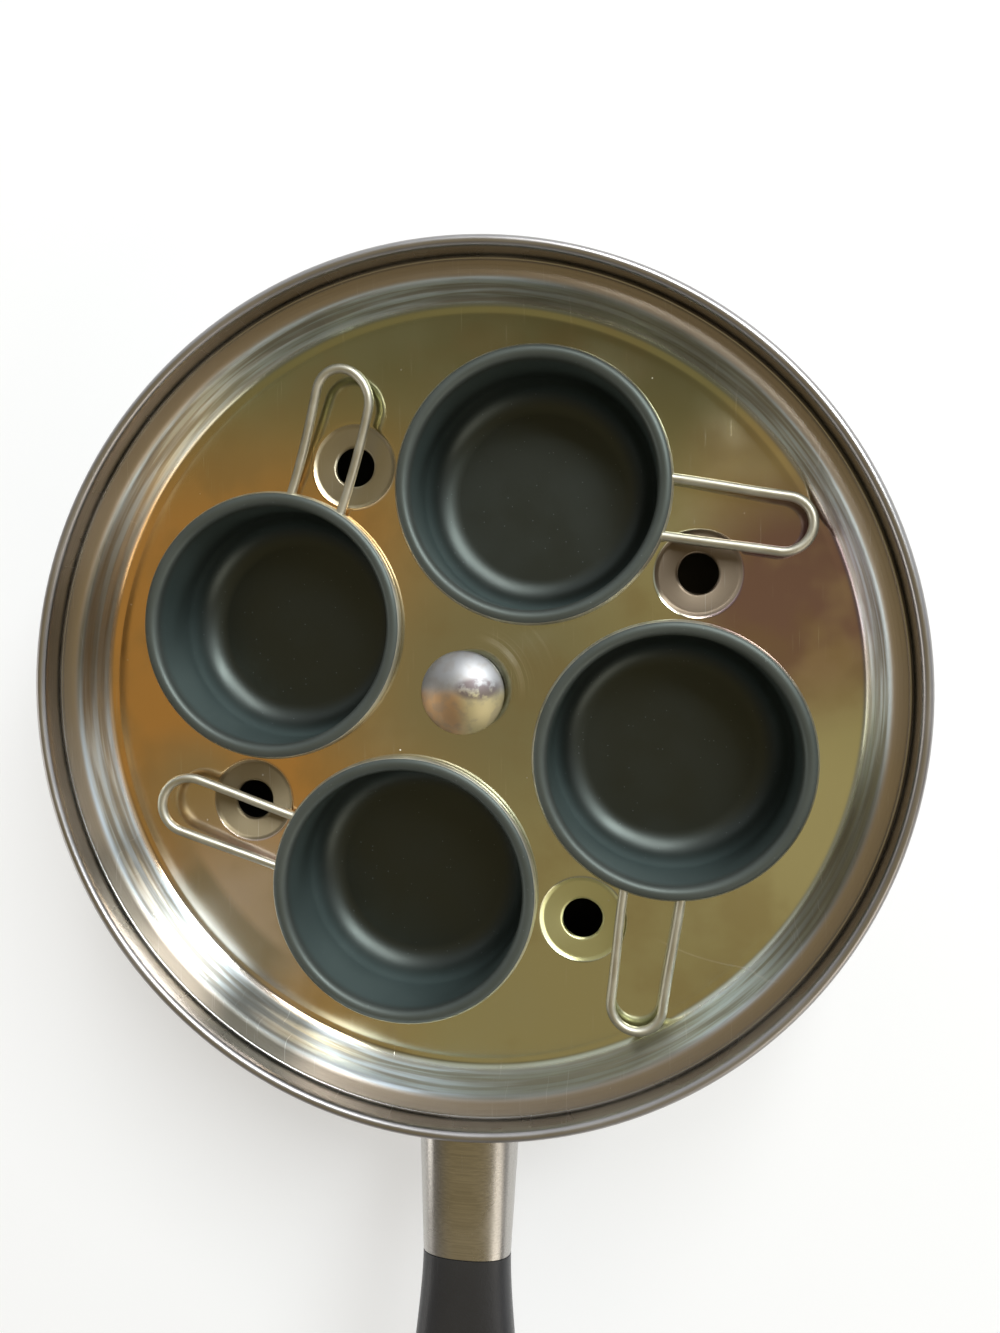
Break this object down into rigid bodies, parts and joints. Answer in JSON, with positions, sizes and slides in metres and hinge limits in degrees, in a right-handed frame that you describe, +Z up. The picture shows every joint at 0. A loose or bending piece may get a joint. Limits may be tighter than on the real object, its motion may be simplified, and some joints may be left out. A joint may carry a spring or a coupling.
{
  "type": "egg poacher pan",
  "caption": "Round pan with a long handle and a lift-out tray whose round holes hold poaching cups with wire loops.",
  "frame": {"origin": "centre of the pan's underside, on the surface it stands on", "axes": "+Z up along the pan's axis, the long handle points along -Y, +X to the right seen from the handle"},
  "size_m": [0.2118, 0.3768, 0.0842],
  "materials": {
    "polished_steel": "polished stainless steel with fine wipe scratches",
    "tray_steel": "mirror-polished stainless steel, warmly tinted by heat and use, with fine scratches and specks",
    "base_steel": "spun stainless steel with concentric brushing",
    "aluminium_core": "plain pressed aluminium",
    "nonstick": "satin dark slate non-stick coating on sheet steel",
    "wire_steel": "polished stainless steel wire",
    "grip_resin": "satin black moulded phenolic resin",
    "fastener_steel": "plain steel"
  },
  "bodies": {
    "pan": {"pan_shell": "polished_steel", "base_core": "aluminium_core", "base_cap": "base_steel", "handle_bracket": "polished_steel", "handle_ferrule": "polished_steel", "handle_grip": "grip_resin", "handle_screw": "fastener_steel"},
    "tray": {"poaching_tray": "tray_steel", "knob_dome": "polished_steel", "knob_stem": "polished_steel", "knob_screw": "fastener_steel", "knob_washer": "fastener_steel"},
    "cup_1": {"cup_shell_1": "nonstick", "cup_loop_1": "wire_steel"},
    "cup_2": {"cup_shell_2": "nonstick", "cup_loop_2": "wire_steel"},
    "cup_3": {"cup_shell_3": "nonstick", "cup_loop_3": "wire_steel"},
    "cup_4": {"cup_shell_4": "nonstick", "cup_loop_4": "wire_steel"}
  },
  "joints": [
    {"name": "tray_lift", "type": "slide", "parent": "pan", "child": "tray", "axis": [0, 0, 1], "range_m": [0, 0.06]},
    {"name": "cup_1_lift", "type": "slide", "parent": "tray", "child": "cup_1", "axis": [0, 0, 1], "range_m": [0, 0.035]},
    {"name": "cup_2_lift", "type": "slide", "parent": "tray", "child": "cup_2", "axis": [0, 0, 1], "range_m": [0, 0.035]},
    {"name": "cup_3_lift", "type": "slide", "parent": "tray", "child": "cup_3", "axis": [0, 0, 1], "range_m": [0, 0.035]},
    {"name": "cup_4_lift", "type": "slide", "parent": "tray", "child": "cup_4", "axis": [0, 0, 1], "range_m": [0, 0.035]}
  ]
}
